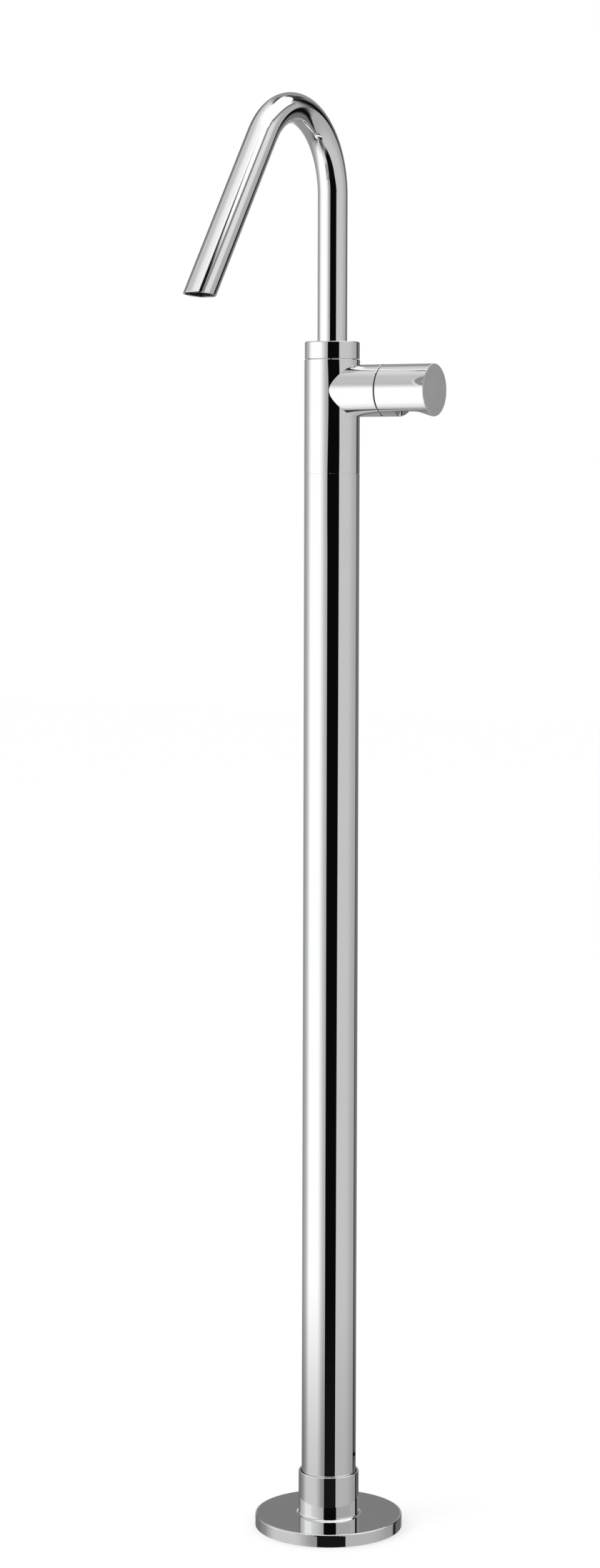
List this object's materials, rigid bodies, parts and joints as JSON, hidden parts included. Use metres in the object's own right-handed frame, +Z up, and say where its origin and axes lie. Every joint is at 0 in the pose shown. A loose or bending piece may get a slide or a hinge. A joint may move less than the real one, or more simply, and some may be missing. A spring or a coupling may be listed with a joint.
{
  "type": "floor-standing basin mixer",
  "caption": "Slim floor-standing basin mixer: round column with a floor cover, a swivelling bent spout and a turning control knob on a side branch.",
  "frame": {"origin": "centre of the base at floor level, on the column's axis", "axes": "+Z up along the column; the spout points to -Y and the control knob to +X"},
  "size_m": [0.1446, 0.2664, 1.0995],
  "materials": {
    "chrome": "polished chrome plate",
    "chrome_floor_cover": "polished chrome plate",
    "cast_brass": "machined brass",
    "stainless": "turned stainless steel",
    "copper_pipe": "drawn copper pipe",
    "black_rubber": "moulded rubber",
    "dark_plastic": "moulded acetal",
    "white_plastic": "moulded acetal",
    "grey_plastic": "moulded plastic",
    "ceramic": "lapped alumina ceramic"
  },
  "bodies": {
    "root": {"floor_gasket": "black_rubber", "floor_flange": "stainless", "column_spigot": "stainless", "column_tube": "chrome", "column_set_screws": "stainless", "inlet_block": "cast_brass", "block_circlip": "stainless", "inlet_filters": "stainless", "cold_riser_pipe": "copper_pipe", "hot_riser_pipe": "copper_pipe", "riser_seals": "black_rubber", "pipe_spacers": "grey_plastic", "column_insert": "cast_brass", "mixer_body": "chrome", "cartridge_base_seal": "black_rubber", "cartridge_base": "white_plastic", "fixed_ceramic_disc": "ceramic", "cartridge_housing": "white_plastic", "stem_thrust_washer": "grey_plastic", "cartridge_nut": "cast_brass", "limit_ring": "grey_plastic", "knob_glide_ring": "dark_plastic", "swivel_spigot": "cast_brass", "swivel_seals": "black_rubber", "swivel_glide_washer": "white_plastic"},
    "spout": {"swivel_ring": "chrome", "spout_set_screw": "stainless", "spout_tube": "chrome", "aerator_housing": "chrome", "aerator_insert": "dark_plastic", "aerator_screen": "stainless", "aerator_seal": "black_rubber"},
    "knob": {"knob": "chrome", "stop_pin": "stainless", "knob_adaptor": "grey_plastic", "knob_set_screw": "stainless", "moving_ceramic_disc": "ceramic", "cartridge_stem": "cast_brass", "stem_seal": "black_rubber"},
    "floor_cover": {"floor_cover": "chrome_floor_cover", "cover_collar": "chrome_floor_cover", "cover_guide_ring": "white_plastic"}
  },
  "joints": [
    {"name": "spout_swivel", "type": "hinge", "parent": "root", "child": "spout", "pos_m": [0, 0, 0.906], "axis": [0, 0, 1], "range_deg": [-60, 60]},
    {"name": "knob_turn", "type": "hinge", "parent": "root", "child": "knob", "pos_m": [0.0461, 0, 0.8824], "axis": [1, 0, 0], "range_deg": [0, 100]},
    {"name": "cover_lift", "type": "slide", "parent": "root", "child": "floor_cover", "axis": [0, 0, 1], "range_m": [0, 0.25]}
  ]
}
